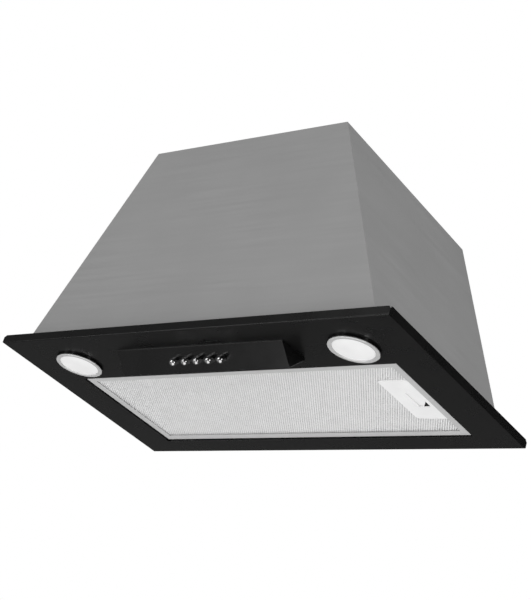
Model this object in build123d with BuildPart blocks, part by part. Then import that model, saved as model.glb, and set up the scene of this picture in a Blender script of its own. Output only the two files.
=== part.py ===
from build123d import *
import math
import os

# A built-in cooker hood, hung in a cut-out in the underside of a wall cabinet.
# Millimetres. Seen from in front, +X is to the right, -Y is towards the viewer and +Z is up.
# The origin is the middle of the rim's top, which meets the cabinet's underside.

os.makedirs("parts", exist_ok=True)

# ---- Driving dimensions ----

plate_length = 525.0
plate_width = 285.0
rim_height = 9.5
plate_sheet = 1.0
bend_radius = 1.2

casing_height = 242.0
casing_half_length_at_rim = 237.2
casing_half_length_at_top = 134.0
casing_half_depth = 128.7
casing_sheet = 0.8

filter_length = 427.0
filter_width = 160.0
filter_height = 9.0
filter_lip = 8.5
filter_foil = 0.8
filter_centre_y = 31.7
filter_recess = 1.8
filter_gap = 2.0
upstand_height = 6.0

housing_centre_x = 2.0
housing_length = 226.8
housing_depth = 19.7
housing_lip = 0.8
housing_front_y = -109.7
housing_apex_y = -87.0
housing_rear_y = -66.5
housing_wall = 2.0

button_pitch = 16.3
button_count = 5
button_radius = 4.0
button_reach = 8.8
button_travel = 4.0

lamp_x = 188.5
lamp_y = -86.7
lamp_radius = 26.8

duct_radius = 59.5
duct_height = 45.0
duct_wall = 2.0

fan_x = -75.0
fan_z = 120.0
fan_radius = 64.5
fan_half_width = 50.0
blade_count = 40

clearance = 0.3
pin_clearance = 0.05

# ---- Sizes worked out from them ----

underside = -rim_height
plate_top = underside + plate_sheet
lid_bottom = casing_height - casing_sheet

aperture_length = filter_length + 2 * filter_gap
aperture_width = filter_width + 2 * filter_gap
upstand_top = plate_top + upstand_height

filter_bottom = underside + filter_recess
filter_right = filter_length / 2
filter_left = -filter_right


def keep(piece, name):
    """Labels a finished piece and writes it as its own STEP file."""
    piece.part.label = name
    export_step(piece.part, f"parts/{name}.step")


def block(x_span, y_span, z_span, mode=Mode.ADD):
    """Adds a box between the given limits to the part that is open, or cuts it."""
    spans = (x_span, y_span, z_span)
    middle = [(low + high) / 2 for low, high in spans]
    with Locations(tuple(middle)):
        Box(*[high - low for low, high in spans], mode=mode)


def about(middle, half):
    """The span that reaches half to each side of middle."""
    return (middle - half, middle + half)


def across(y):
    """The plane at this y, drawn in X and Z. Extruding from it goes towards the front."""
    return Plane.XZ.offset(-y)


def turned_upright(centre, outline):
    """A solid turned about the upright line through centre, from (radius, z) points."""
    with BuildPart() as piece:
        with BuildSketch(Plane(origin=(*centre, 0), x_dir=(1, 0, 0), z_dir=(0, -1, 0))):
            with BuildLine():
                Polyline(*outline, close=True)
            make_face()
        revolve(axis=Axis((*centre, 0), (0, 0, 1)))
    return piece


def turned_on_fan(outline):
    """A solid turned about the fan's axis, from (y, radius) points."""
    with BuildPart() as piece:
        with BuildSketch(Plane(origin=(fan_x, 0, fan_z), x_dir=(0, 1, 0), z_dir=(1, 0, 0))):
            with BuildLine():
                Polyline(*outline, close=True)
            make_face()
        revolve(axis=Axis((fan_x, 0, fan_z), (0, 1, 0)))
    return piece


def screws(places, direction, shank_radius, length, head_radius=3.2, head_height=2.2):
    """A set of pan-head screws: each head stands on its place, its shank runs along direction."""
    with BuildPart() as piece:
        for place in places:
            seat = Plane(origin=place, z_dir=direction)
            with BuildSketch(seat):
                Circle(shank_radius)
            extrude(amount=length)
            with BuildSketch(seat.offset(-head_height)):
                Circle(head_radius)
            extrude(amount=head_height)
    return piece


# ---- Face plate ----

stud_radius = 2.0
stud_height = 7.0
side_stud_x = 234.0
flange_stud_y = 121.5
stud_places = [(x, y) for x in (-150, 0, 150) for y in (-flange_stud_y, flange_stud_y)]
stud_places += [(-side_stud_x, 0), (side_stud_x, 0)]

lamp_hole_radius = 24.6
housing_screw_x = 96.0
housing_screw_radius = 1.45
slot_half_length = 46.0
slot_middle_y = -88.0
slot_half_width = 13.0
notch_half_width = 2.6
notch_depth = 2.4

with BuildPart() as face_plate:
    with BuildSketch(Plane.XY.offset(underside)):
        Rectangle(plate_length, plate_width)
    extrude(amount=rim_height)
    fillet(face_plate.faces().sort_by(Axis.Z)[0].edges(), bend_radius)
    with BuildSketch(Plane.XY.offset(plate_top)):
        Rectangle(plate_length - 2 * plate_sheet, plate_width - 2 * plate_sheet)
    extrude(amount=rim_height, mode=Mode.SUBTRACT)
    with BuildSketch(Plane.XY.offset(plate_top)):
        with Locations((0, filter_centre_y)):
            Rectangle(aperture_length + 2 * plate_sheet, aperture_width + 2 * plate_sheet)
    extrude(amount=upstand_top - plate_top)
    with BuildSketch(Plane.XY.offset(underside)):
        with Locations((0, filter_centre_y)):
            Rectangle(aperture_length, aperture_width)
        with Locations((-lamp_x, lamp_y), (lamp_x, lamp_y)):
            Circle(lamp_hole_radius)
        with Locations((housing_centre_x, slot_middle_y)):
            Rectangle(2 * slot_half_length, 2 * slot_half_width)
            with GridLocations(2 * housing_screw_x, 0, 2, 1):
                Circle(housing_screw_radius + pin_clearance)
    extrude(amount=rim_height, mode=Mode.SUBTRACT)
    with BuildSketch(Plane.XY.offset(plate_top)):
        with Locations(*stud_places):
            Circle(stud_radius)
    extrude(amount=stud_height)
    for side in (-1, 1):
        for end in (-1, 1):
            corner = (side * plate_length / 2, end * plate_width / 2, 0)
            with BuildSketch(Plane(origin=corner, x_dir=(-end, side, 0), z_dir=(side, end, 0))):
                with BuildLine():
                    Polyline((-notch_half_width, 0), (notch_half_width, 0), (0, -notch_depth), close=True)
                make_face()
            extrude(amount=2 * plate_sheet, both=True, mode=Mode.SUBTRACT)
keep(face_plate, "face_plate")

nut_height = 3.2
nut_radius = 4.0

with BuildPart() as plate_nuts:
    with BuildSketch(Plane.XY.offset(plate_top + casing_sheet)):
        with Locations(*stud_places):
            RegularPolygon(nut_radius, 6)
            Circle(stud_radius, mode=Mode.SUBTRACT)
    extrude(amount=nut_height)
keep(plate_nuts, "plate_nuts")


# ---- Control housing, buttons and switch ----

# Its front edge is a low upright lip; the face then slopes down to the apex.
front_angle = math.atan2(housing_depth - housing_lip, housing_apex_y - housing_front_y)
rear_angle = math.atan2(housing_depth, housing_rear_y - housing_apex_y)
face_foot_y = housing_front_y - housing_lip / math.tan(front_angle)
face_normal = (0, -math.sin(front_angle), -math.cos(front_angle))
housing_left = housing_centre_x - housing_length / 2

inner_front_y = face_foot_y + housing_wall / math.sin(front_angle)
inner_rear_y = housing_rear_y - housing_wall / math.sin(rear_angle)
inner_share = (inner_rear_y - inner_front_y) / (housing_rear_y - face_foot_y)
inner_apex_y = inner_front_y + (housing_apex_y - face_foot_y) * inner_share
inner_depth = housing_depth * inner_share

housing_edge_radius = 0.5
button_hole_radius = button_radius + clearance
rib_half_thickness = 3.5
housing_screw_length = 10.0

# The housing is hollow between its ends and the two solid ribs that the screws bite in.
left_rib_x = housing_centre_x - housing_screw_x
right_rib_x = housing_centre_x + housing_screw_x
hollow_edges = (
    housing_left + housing_wall,
    left_rib_x - rib_half_thickness,
    left_rib_x + rib_half_thickness,
    right_rib_x - rib_half_thickness,
    right_rib_x + rib_half_thickness,
    housing_left + housing_length - housing_wall,
)


def face_plane(along=0.0):
    """The plane on the sloping face, this far right of its middle, with Z pointing out of it."""
    middle_y = (housing_front_y + housing_apex_y) / 2
    middle_z = underside - (housing_lip + housing_depth) / 2
    origin = (housing_centre_x + along, middle_y, middle_z)
    return Plane(origin=origin, x_dir=(1, 0, 0), z_dir=face_normal)


button_shifts = [(i - (button_count - 1) / 2) * button_pitch for i in range(button_count)]

with BuildPart() as control_housing:
    with BuildSketch(Plane.YZ.offset(housing_left)):
        with BuildLine():
            Polyline(
                (housing_front_y, underside),
                (housing_front_y, underside - housing_lip),
                (housing_apex_y, underside - housing_depth),
                (housing_rear_y, underside),
                close=True,
            )
        make_face()
    extrude(amount=housing_length)
    below_the_plate = control_housing.edges().group_by(Axis.Z)[:-1]
    fillet([edge for group in below_the_plate for edge in group], housing_edge_radius)
    for hollow_start, hollow_end in zip(hollow_edges[::2], hollow_edges[1::2]):
        with BuildSketch(Plane.YZ.offset(hollow_start)):
            with BuildLine():
                Polyline(
                    (inner_front_y, underside),
                    (inner_apex_y, underside - inner_depth),
                    (inner_rear_y, underside),
                    close=True,
                )
            make_face()
        extrude(amount=hollow_end - hollow_start, mode=Mode.SUBTRACT)
    with BuildSketch(face_plane()):
        with Locations(*[(shift, 0) for shift in button_shifts]):
            Circle(button_hole_radius)
    extrude(amount=-2 * housing_wall, mode=Mode.SUBTRACT)
    with BuildSketch(Plane.XY.offset(underside)):
        with Locations((housing_centre_x, slot_middle_y)):
            with GridLocations(2 * housing_screw_x, 0, 2, 1):
                Circle(housing_screw_radius + pin_clearance)
    extrude(amount=-housing_screw_length, mode=Mode.SUBTRACT)
keep(control_housing, "control_housing")

screw_seats = [
    (housing_centre_x + side * housing_screw_x, slot_middle_y, plate_top) for side in (-1, 1)
]
housing_screws = screws(screw_seats, (0, 0, -1), housing_screw_radius, housing_screw_length)
keep(housing_screws, "housing_screws")

button_collar_radius = 5.3
button_collar_thickness = 1.2
stem_radius = 2.5
stem_end = 21.5
plunger_radius = 1.8
plunger_end = 34.0
dome_radius = 3.0
button_collar_depth = housing_wall + clearance

for number, shift in enumerate(button_shifts, start=1):
    with BuildPart() as button:
        for radius, deep, shallow in (
            (button_radius, button_collar_depth, -button_reach),
            (button_collar_radius, button_collar_depth + button_collar_thickness, button_collar_depth),
            (stem_radius, stem_end, button_collar_depth + button_collar_thickness),
            (plunger_radius, plunger_end, stem_end),
        ):
            with BuildSketch(face_plane(shift).offset(-deep)):
                Circle(radius)
            extrude(amount=deep - shallow)
        tip = button.edges().filter_by(GeomType.CIRCLE).sort_by(Axis((0, 0, 0), face_normal))[-1]
        fillet(tip, dome_radius)
    keep(button, f"button_{number}")

switch_front = 26.0
switch_back = 48.0
switch_half_height = 9.0
switch_end_margin = 12.0
switch_half_length = (button_count - 1) / 2 * button_pitch + switch_end_margin
switch_edge = 0.8
switch_hole_spare = 2.0
switch_hole_depth = plunger_end - switch_front + button_travel + switch_hole_spare

with BuildPart() as switch_block:
    with BuildSketch(face_plane().offset(-switch_front)):
        Rectangle(2 * switch_half_length, 2 * switch_half_height)
    extrude(amount=switch_front - switch_back)
    chamfer(switch_block.edges().filter_by(Axis.X), switch_edge)
    with BuildSketch(face_plane().offset(-switch_front)):
        with Locations(*[(shift, 0) for shift in button_shifts]):
            Circle(plunger_radius + clearance)
    extrude(amount=-switch_hole_depth, mode=Mode.SUBTRACT)
keep(switch_block, "switch_block")

bracket_sheet = 1.5
bracket_toe_y = -98.0
bracket_heel_y = -60.0
bracket_foot = 10.0
switch_low_corner = face_plane().from_local_coords(Vector(0, -switch_half_height, -switch_back))
switch_high_corner = face_plane().from_local_coords(Vector(0, switch_half_height, -switch_back))
switch_front_corner = face_plane().from_local_coords(Vector(0, switch_half_height, -switch_front))

with BuildPart() as switch_brackets:
    for side in (-1, 1):
        cheek_x = housing_centre_x + side * switch_half_length
        foot_x = cheek_x + side * bracket_foot
        start_x = cheek_x if side > 0 else cheek_x - bracket_sheet
        with BuildSketch(Plane.YZ.offset(start_x)):
            with BuildLine():
                Polyline(
                    (bracket_toe_y, plate_top),
                    (bracket_heel_y, plate_top),
                    (switch_low_corner.Y, switch_low_corner.Z),
                    (switch_high_corner.Y, switch_high_corner.Z),
                    (switch_front_corner.Y, switch_front_corner.Z),
                    close=True,
                )
            make_face()
        extrude(amount=bracket_sheet)
        foot_span = (min(cheek_x, foot_x), max(cheek_x, foot_x))
        block(foot_span, (bracket_toe_y, bracket_heel_y), (plate_top, plate_top + bracket_sheet))
keep(switch_brackets, "switch_brackets")


# ---- Lamps ----

lamp_neck_radius = 24.3
lamp_can_top = 12.0
lamp_can_wall = 1.4
lamp_collar_radius = 27.4
lamp_collar_bottom = underside - 2.6
lamp_face = underside - 3.7
lamp_edge = 0.4
lamp_bore = lamp_neck_radius - lamp_can_wall
lamp_fit = 0.1
lamp_bezel_bore = 22.5
lens_groove = 0.4
lens_radius = lamp_bezel_bore - lens_groove
lens_flange_radius = lamp_bore - lamp_fit
lens_flange_height = 1.4
lens_sag = 0.7
lens_thickness = 1.2
lens_inner_radius = lens_radius - lens_thickness
led_count = 6

lamp_housing_outline = (
    (0, lamp_can_top),
    (lamp_neck_radius, lamp_can_top),
    (lamp_neck_radius, underside),
    (lamp_collar_radius, underside),
    (lamp_collar_radius, lamp_collar_bottom + lamp_edge),
    (lamp_collar_radius - lamp_edge, lamp_collar_bottom),
    (lamp_bore, lamp_collar_bottom),
    (lamp_bore, lamp_can_top - lamp_can_wall),
    (0, lamp_can_top - lamp_can_wall),
)

# A flat bright ring round the lens, clear of it by a fine groove.
lamp_bezel_outline = (
    (lamp_radius, lamp_collar_bottom),
    (lamp_radius, lamp_face + lamp_edge),
    (lamp_radius - lamp_edge, lamp_face),
    (lamp_bezel_bore + lamp_edge, lamp_face),
    (lamp_bezel_bore, lamp_face + lamp_edge),
    (lamp_bezel_bore, lamp_collar_bottom),
)

board_bottom = 3.0
board_thickness = 1.6
led_size = 2.8
led_ring_radius = 11.0
led_height = 0.8

clip_sheet = 0.8
clip_half_width = 5.0
clip_top = 4.0
clip_foot = 10.0

for side_name, side in (("left", -1), ("right", 1)):
    lamp_centre = (side * lamp_x, lamp_y)
    lamp_section = Plane(origin=(*lamp_centre, 0), x_dir=(1, 0, 0), z_dir=(0, -1, 0))
    lamp_axis = Axis((*lamp_centre, 0), (0, 0, 1))
    keep(turned_upright(lamp_centre, lamp_housing_outline), f"lamp_housing_{side_name}")
    keep(turned_upright(lamp_centre, lamp_bezel_outline), f"lamp_bezel_{side_name}")

    # The lens bulges downwards, and its flange lies on the ring.
    with BuildPart() as lamp_lens:
        with BuildSketch(lamp_section):
            with BuildLine():
                bulge = ThreePointArc(
                    (0, lamp_face),
                    (lens_radius / 2, lamp_face + lens_sag / 4),
                    (lens_radius, lamp_face + lens_sag),
                )
                Polyline(
                    bulge @ 1,
                    (lens_radius, lamp_collar_bottom),
                    (lens_flange_radius, lamp_collar_bottom),
                    (lens_flange_radius, lamp_collar_bottom + lens_flange_height),
                    (lens_inner_radius, lamp_collar_bottom + lens_flange_height),
                    (lens_inner_radius, lamp_face + lens_sag + lens_thickness),
                    (0, lamp_face + lens_sag + lens_thickness),
                    (0, lamp_face),
                )
            make_face()
        revolve(axis=lamp_axis)
    keep(lamp_lens, f"lamp_lens_{side_name}")

    with BuildPart() as lamp_board:
        with BuildSketch(Plane.XY.offset(board_bottom)):
            with Locations(lamp_centre):
                Circle(lamp_bore)
        extrude(amount=board_thickness)
        with BuildSketch(Plane.XY.offset(board_bottom)):
            with Locations(lamp_centre):
                with PolarLocations(led_ring_radius, led_count):
                    Rectangle(led_size, led_size)
        extrude(amount=-led_height)
    keep(lamp_board, f"lamp_board_{side_name}")

    with BuildPart() as lamp_clips:
        for way in (-1, 1):
            leg_start = side * lamp_x + way * (lamp_hole_radius + lamp_fit)
            leg_end = leg_start + way * clip_sheet
            foot_end = leg_end + way * clip_foot
            y_span = about(lamp_y, clip_half_width)
            block(sorted((leg_start, leg_end)), y_span, (plate_top, clip_top))
            block(sorted((leg_end, foot_end)), y_span, (plate_top, plate_top + clip_sheet))
    keep(lamp_clips, f"lamp_clips_{side_name}")


# ---- Casing ----

rear_hole_radius = 2.5
rear_hole_spacing_x = 240.0
rear_hole_spacing_z = 70.0
rear_hole_middle_z = 90.0
casing_flange = 12.0
casing_flange_top = plate_top + casing_sheet
front_flange_half_length = 226.0
side_flange_half_depth = 112.0
side_strip = 10.0
lid_flange_half_length = 116.0
lid_flange_height = 10.0
outlet_hole_radius = 57.5
neck_screw_x = 55.5
neck_screw_y = 61.0
neck_screw_radius = 1.6
collar_screw_reach = 67.5
collar_screw_radius = 1.6
gland_x = -96.0
gland_y = 97.0
gland_radius = 8.0


def casing_half_length(z):
    """Half the casing's outer length at this height: its end walls lean straight inwards."""
    lean = (casing_half_length_at_top - casing_half_length_at_rim) / casing_height
    return casing_half_length_at_rim + lean * z


def cut_stud_holes():
    """Cuts the stud holes through the casing flange of the part that is open."""
    with BuildSketch(Plane.XY.offset(casing_flange_top)) as holes:
        with Locations(*stud_places):
            Circle(stud_radius + clearance)
    extrude(holes.sketch, amount=-casing_sheet, mode=Mode.SUBTRACT)


foot_half_length = casing_half_length(plate_top)
head_half_length = casing_half_length(lid_bottom)

for wall_name, facing in (("casing_front", -1), ("casing_rear", 1)):
    outer_y = facing * casing_half_depth
    inner_y = facing * (casing_half_depth - casing_sheet)
    flange_y = facing * (casing_half_depth - casing_sheet - casing_flange)
    with BuildPart() as wall:
        with BuildSketch(across(max(outer_y, inner_y))):
            with BuildLine():
                Polyline(
                    (-foot_half_length, plate_top),
                    (foot_half_length, plate_top),
                    (head_half_length, lid_bottom),
                    (-head_half_length, lid_bottom),
                    close=True,
                )
            make_face()
        extrude(amount=casing_sheet)
        flange_span = sorted((inner_y, flange_y))
        block(about(0, front_flange_half_length), flange_span, (plate_top, casing_flange_top))
        cut_stud_holes()
        if facing > 0:
            with BuildSketch(across(casing_half_depth)):
                with Locations((0, rear_hole_middle_z)):
                    with GridLocations(rear_hole_spacing_x, rear_hole_spacing_z, 2, 2):
                        Circle(rear_hole_radius)
            extrude(amount=casing_sheet, mode=Mode.SUBTRACT)
    keep(wall, wall_name)

side_inner_half_depth = casing_half_depth - casing_sheet
lean_ratio = (foot_half_length - head_half_length) / (lid_bottom - plate_top)
side_thickness_x = casing_sheet * math.hypot(1, lean_ratio)

for side_name, side in (("left", -1), ("right", 1)):
    with BuildPart() as wall:
        with BuildSketch(across(0)):
            with BuildLine():
                Polyline(
                    (side * foot_half_length, plate_top),
                    (side * head_half_length, lid_bottom),
                    (side * (head_half_length - side_thickness_x), lid_bottom),
                    (side * (foot_half_length - side_thickness_x), plate_top),
                    close=True,
                )
            make_face()
        extrude(amount=side_inner_half_depth, both=True)
        for strip_y in (side_inner_half_depth, -side_inner_half_depth + casing_sheet):
            with BuildSketch(across(strip_y)):
                with BuildLine():
                    Polyline(
                        (side * foot_half_length, plate_top),
                        (side * head_half_length, lid_bottom),
                        (side * (head_half_length - side_strip), lid_bottom),
                        (side * (foot_half_length - side_strip), plate_top),
                        close=True,
                    )
                make_face()
            extrude(amount=casing_sheet)
        inner_x = side * (foot_half_length - side_thickness_x)
        flange_x = inner_x - side * casing_flange
        flange_span = sorted((inner_x, flange_x))
        block(flange_span, about(0, side_flange_half_depth), (plate_top, casing_flange_top))
        cut_stud_holes()
    keep(wall, f"casing_{side_name}")

with BuildPart() as casing_top:
    block(about(0, casing_half_length_at_top), about(0, casing_half_depth), (lid_bottom, casing_height))
    for facing in (-1, 1):
        flange_span = sorted(
            (facing * side_inner_half_depth, facing * (side_inner_half_depth - casing_sheet))
        )
        block(
            about(0, lid_flange_half_length), flange_span, (lid_bottom - lid_flange_height, lid_bottom)
        )
    with BuildSketch(Plane.XY.offset(casing_height)):
        Circle(outlet_hole_radius)
        with GridLocations(2 * neck_screw_x, 2 * neck_screw_y, 2, 2):
            Circle(neck_screw_radius)
        with PolarLocations(collar_screw_reach, 4):
            Circle(collar_screw_radius)
        with Locations((gland_x, gland_y)):
            Circle(gland_radius)
    extrude(amount=-2 * casing_sheet, mode=Mode.SUBTRACT)
keep(casing_top, "casing_top")


# ---- Outlet collar and its two non-return flaps ----

collar_flange_radius = 73.0
collar_flange_thickness = 1.6
duct_bore = duct_radius - duct_wall
flap_ledge_radius = 54.0
flap_ledge_top = casing_height + 7.5
flap_ledge_thickness = 1.5
flap_thickness = 1.2
flap_radius = duct_bore - 2 * clearance
flap_bottom = flap_ledge_top + clearance
flap_pivot_x = 3.2
flap_pivot_z = flap_bottom + 1.8
flap_barrel_radius = 2.2
flap_barrel_half_length = 50.0
flap_pin_radius = 1.5
flap_pin_end = duct_radius - 0.5
collar_edge = 0.8
collar_screw_shank = 1.5
collar_screw_length = 7.0
neck_screw_shank = 1.5
neck_screw_length = 6.0

with BuildPart() as outlet_collar:
    with BuildSketch(Plane.XY.offset(casing_height)):
        Circle(collar_flange_radius)
        with PolarLocations(collar_screw_reach, 4):
            Circle(collar_screw_radius, mode=Mode.SUBTRACT)
    extrude(amount=collar_flange_thickness)
    with BuildSketch(Plane.XY.offset(casing_height)):
        Circle(duct_radius)
    extrude(amount=duct_height)
    chamfer(outlet_collar.edges().filter_by(GeomType.CIRCLE).sort_by(Axis.Z)[-1], collar_edge)
    with BuildSketch(Plane.XY.offset(casing_height)):
        Circle(duct_bore)
    extrude(amount=duct_height, mode=Mode.SUBTRACT)
    with BuildSketch(Plane.XY.offset(flap_ledge_top)):
        Circle(duct_bore)
        Circle(flap_ledge_radius, mode=Mode.SUBTRACT)
    extrude(amount=-flap_ledge_thickness)
    with BuildSketch(across(duct_radius)):
        with Locations((-flap_pivot_x, flap_pivot_z), (flap_pivot_x, flap_pivot_z)):
            Circle(flap_pin_radius + pin_clearance)
    extrude(amount=2 * duct_radius, mode=Mode.SUBTRACT)
keep(outlet_collar, "outlet_collar")

for side_name, side in (("left", -1), ("right", 1)):
    pivot_x = side * flap_pivot_x
    with BuildPart() as flap:
        with BuildSketch(Plane.XY.offset(flap_bottom)):
            Circle(flap_radius)
            with Locations((pivot_x - side * duct_radius, 0)):
                Rectangle(2 * duct_radius, 2 * duct_radius, mode=Mode.SUBTRACT)
        extrude(amount=flap_thickness)
        for radius, half_length in (
            (flap_barrel_radius, flap_barrel_half_length),
            (flap_pin_radius, flap_pin_end),
        ):
            with BuildSketch(across(0)):
                with Locations((pivot_x, flap_pivot_z)):
                    Circle(radius)
            extrude(amount=half_length, both=True)
    keep(flap, f"flap_{side_name}")

collar_seats = [
    (collar_screw_reach * x, collar_screw_reach * y, casing_height + collar_flange_thickness)
    for x, y in ((1, 0), (0, 1), (-1, 0), (0, -1))
]
keep(screws(collar_seats, (0, 0, -1), collar_screw_shank, collar_screw_length), "collar_screws")

neck_seats = [(x * neck_screw_x, y * neck_screw_y, casing_height) for x in (-1, 1) for y in (-1, 1)]
keep(screws(neck_seats, (0, 0, -1), neck_screw_shank, neck_screw_length), "neck_screws")


# ---- Blower: scroll, inlet rings, motor and impeller ----

scroll_sheet = 1.0
scroll_half_depth = 58.0
scroll_start = 74.0
scroll_end = 125.0
neck_half_width = fan_x + scroll_end
scroll_rim = 6.0
scroll_rim_thickness = 1.5
inlet_hole_radius = 55.0
neck_flange_half_length = 60.0
neck_flange_half_depth = 64.0
full_turn = 360.0
spiral_steps = 16


def cutoff_angle(growth):
    """The angle where the spiral, grown by this much, meets the neck's left wall."""
    start = scroll_start + growth
    return math.degrees(math.acos((-neck_half_width - growth - fan_x) / start))


def scroll_radius(angle):
    """The scroll's inner radius, which grows evenly from the cut-off round to the neck."""
    first = cutoff_angle(0)
    share = (angle - first) / (full_turn - first)
    return scroll_start + (scroll_end - scroll_start) * share


def scroll_point(angle, growth):
    """A point on the spiral in X and Z, this much outside its inner surface."""
    reach = scroll_radius(angle) + growth
    turn = math.radians(angle)
    return (fan_x + reach * math.cos(turn), fan_z + reach * math.sin(turn))


def scroll_side(plane, growth, top):
    """The scroll's side view on this plane: a spiral that runs into a straight upright neck."""
    first = cutoff_angle(growth)
    angles = [first + (full_turn - first) * i / spiral_steps for i in range(spiral_steps + 1)]
    with BuildSketch(plane) as side_view:
        with BuildLine():
            spiral = Spline(*[scroll_point(angle, growth) for angle in angles])
            Polyline(
                spiral @ 1,
                (neck_half_width + growth, top),
                (-neck_half_width - growth, top),
                spiral @ 0,
            )
        make_face()
    return side_view.sketch


rim_screw_angles = (125, 180, 235, 290)
rim_screw_radius = 1.5
rim_screw_head = 2.5
rim_screw_length = 8.0
rim_hole_radius = rim_screw_radius + 0.1
rim_screw_inset = 2.6
rim_screw_places = [scroll_point(angle, scroll_sheet + rim_screw_inset) for angle in rim_screw_angles]
rim_gap = 3.0
rim_top = lid_bottom - rim_gap

for half_name, facing in (("scroll_front", -1), ("scroll_rear", 1)):
    wall_back = max(0, facing * scroll_half_depth)
    hollow_back = max(0, facing * (scroll_half_depth - scroll_sheet))
    rim_back = max(0, facing * scroll_rim_thickness)
    neck_span = sorted((0, facing * neck_flange_half_depth))
    with BuildPart() as scroll:
        extrude(scroll_side(across(wall_back), scroll_sheet, lid_bottom), amount=scroll_half_depth)
        extrude(
            scroll_side(across(rim_back), scroll_sheet + scroll_rim, rim_top),
            amount=scroll_rim_thickness,
        )
        block(about(0, neck_flange_half_length), neck_span, (lid_bottom - scroll_sheet, lid_bottom))
        extrude(
            scroll_side(across(hollow_back), 0, casing_height),
            amount=scroll_half_depth - scroll_sheet,
            mode=Mode.SUBTRACT,
        )
        with BuildSketch(across(wall_back)):
            with Locations((fan_x, fan_z)):
                Circle(inlet_hole_radius)
        extrude(amount=scroll_half_depth, mode=Mode.SUBTRACT)
        with BuildSketch(across(rim_back)):
            with Locations(*rim_screw_places):
                Circle(rim_hole_radius)
        extrude(amount=scroll_rim_thickness, mode=Mode.SUBTRACT)
        with BuildSketch(Plane.XY.offset(lid_bottom)):
            with GridLocations(2 * neck_screw_x, 2 * neck_screw_y, 2, 2):
                Circle(neck_screw_radius)
        extrude(amount=-2 * scroll_sheet, mode=Mode.SUBTRACT)
    keep(scroll, half_name)

rim_seats = [(x, -scroll_rim_thickness, z) for x, z in rim_screw_places]
scroll_screws = screws(
    rim_seats, (0, 1, 0), rim_screw_radius, rim_screw_length, head_radius=rim_screw_head
)
keep(scroll_screws, "scroll_screws")

bell_throat = 52.0
bell_sheet = 1.2
bell_radius = 7.0
bell_top = 62.0
bell_edge = 65.0
bell_inner_end = 53.0

for ring_name, facing in (("inlet_ring_front", -1), ("inlet_ring_rear", 1)):
    bell_centre = (facing * (bell_top - bell_radius), bell_throat + bell_radius)
    with BuildPart() as inlet_ring:
        with BuildSketch(Plane(origin=(fan_x, 0, fan_z), x_dir=(0, 1, 0), z_dir=(1, 0, 0))):
            with BuildLine():
                mouth = (facing * bell_inner_end, bell_throat)
                throat = (bell_centre[0], bell_throat)
                lip = (facing * bell_top, bell_centre[1])
                Line(mouth, throat)
                RadiusArc(throat, lip, -facing * bell_radius)
                Polyline(
                    lip,
                    (facing * bell_top, bell_edge),
                    (facing * scroll_half_depth, bell_edge),
                    (facing * scroll_half_depth, bell_edge - bell_sheet),
                    (facing * (bell_top - bell_sheet), bell_edge - bell_sheet),
                    (facing * (bell_top - bell_sheet), bell_centre[1]),
                )
                RadiusArc(
                    (facing * (bell_top - bell_sheet), bell_centre[1]),
                    (bell_centre[0], bell_throat + bell_sheet),
                    facing * (bell_radius - bell_sheet),
                )
                Polyline(
                    (bell_centre[0], bell_throat + bell_sheet),
                    (facing * bell_inner_end, bell_throat + bell_sheet),
                    mouth,
                )
            make_face()
        revolve(axis=Axis((fan_x, 0, fan_z), (0, 1, 0)))
    keep(inlet_ring, ring_name)

shaft_radius = 4.0
shaft_front = -12.0
shaft_back = 50.0
hub_back = 6.0
hub_front = -10.0
hub_radius = 10.0
disc_half = 1.0
blade_depth = 10.0
blade_thickness = 1.2
blade_ring_thickness = 2.0
blade_inner_radius = 54.0
blade_middle_radius = (fan_radius + blade_inner_radius) / 2
blade_tilt = 35.0
motor_bore = shaft_radius + pin_clearance
bracket_hub_y = 63.0
motor_front = 8.0
motor_back = 48.0
motor_shoulder = 4.0
motor_radius = 36.0
motor_end_radius = 30.0
motor_neck_radius = 18.0

motor_body = turned_on_fan(
    (
        (motor_front, motor_bore),
        (motor_front, motor_end_radius),
        (motor_front + motor_shoulder, motor_radius),
        (motor_back - motor_shoulder, motor_radius),
        (motor_back, motor_end_radius),
        (motor_back, motor_neck_radius),
        (bracket_hub_y, motor_neck_radius),
        (bracket_hub_y, motor_bore),
    )
)
keep(motor_body, "motor_body")

with BuildPart() as motor_shaft:
    with BuildSketch(across(shaft_back)):
        with Locations((fan_x, fan_z)):
            Circle(shaft_radius)
    extrude(amount=shaft_back - shaft_front)
keep(motor_shaft, "motor_shaft")

with BuildPart() as impeller:
    for back, front, outer in (
        (disc_half, -disc_half, fan_radius),
        (hub_back, hub_front, hub_radius),
    ):
        with BuildSketch(across(back)):
            with Locations((fan_x, fan_z)):
                Circle(outer)
        extrude(amount=back - front)
    for back in (fan_half_width, -fan_half_width + blade_ring_thickness):
        with BuildSketch(across(back)):
            with Locations((fan_x, fan_z)):
                Circle(fan_radius)
                Circle(blade_inner_radius, mode=Mode.SUBTRACT)
        extrude(amount=blade_ring_thickness)
    with BuildSketch(across(fan_half_width)):
        with Locations((fan_x, fan_z)):
            with PolarLocations(blade_middle_radius, blade_count):
                Rectangle(blade_depth, blade_thickness, rotation=blade_tilt)
    extrude(amount=2 * fan_half_width)
    with BuildSketch(across(hub_back)):
        with Locations((fan_x, fan_z)):
            Circle(shaft_radius)
    extrude(amount=hub_back - hub_front, mode=Mode.SUBTRACT)
keep(impeller, "impeller")

bracket_thickness = 2.0
bracket_reach = 74.0
bracket_hub_radius = 24.0
bracket_width = 12.0
leg_depth = 6.0
leg_middle = bracket_reach - leg_depth / 2
arm_angles = (90, 210, 330)
bracket_back = bracket_hub_y + bracket_thickness

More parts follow.
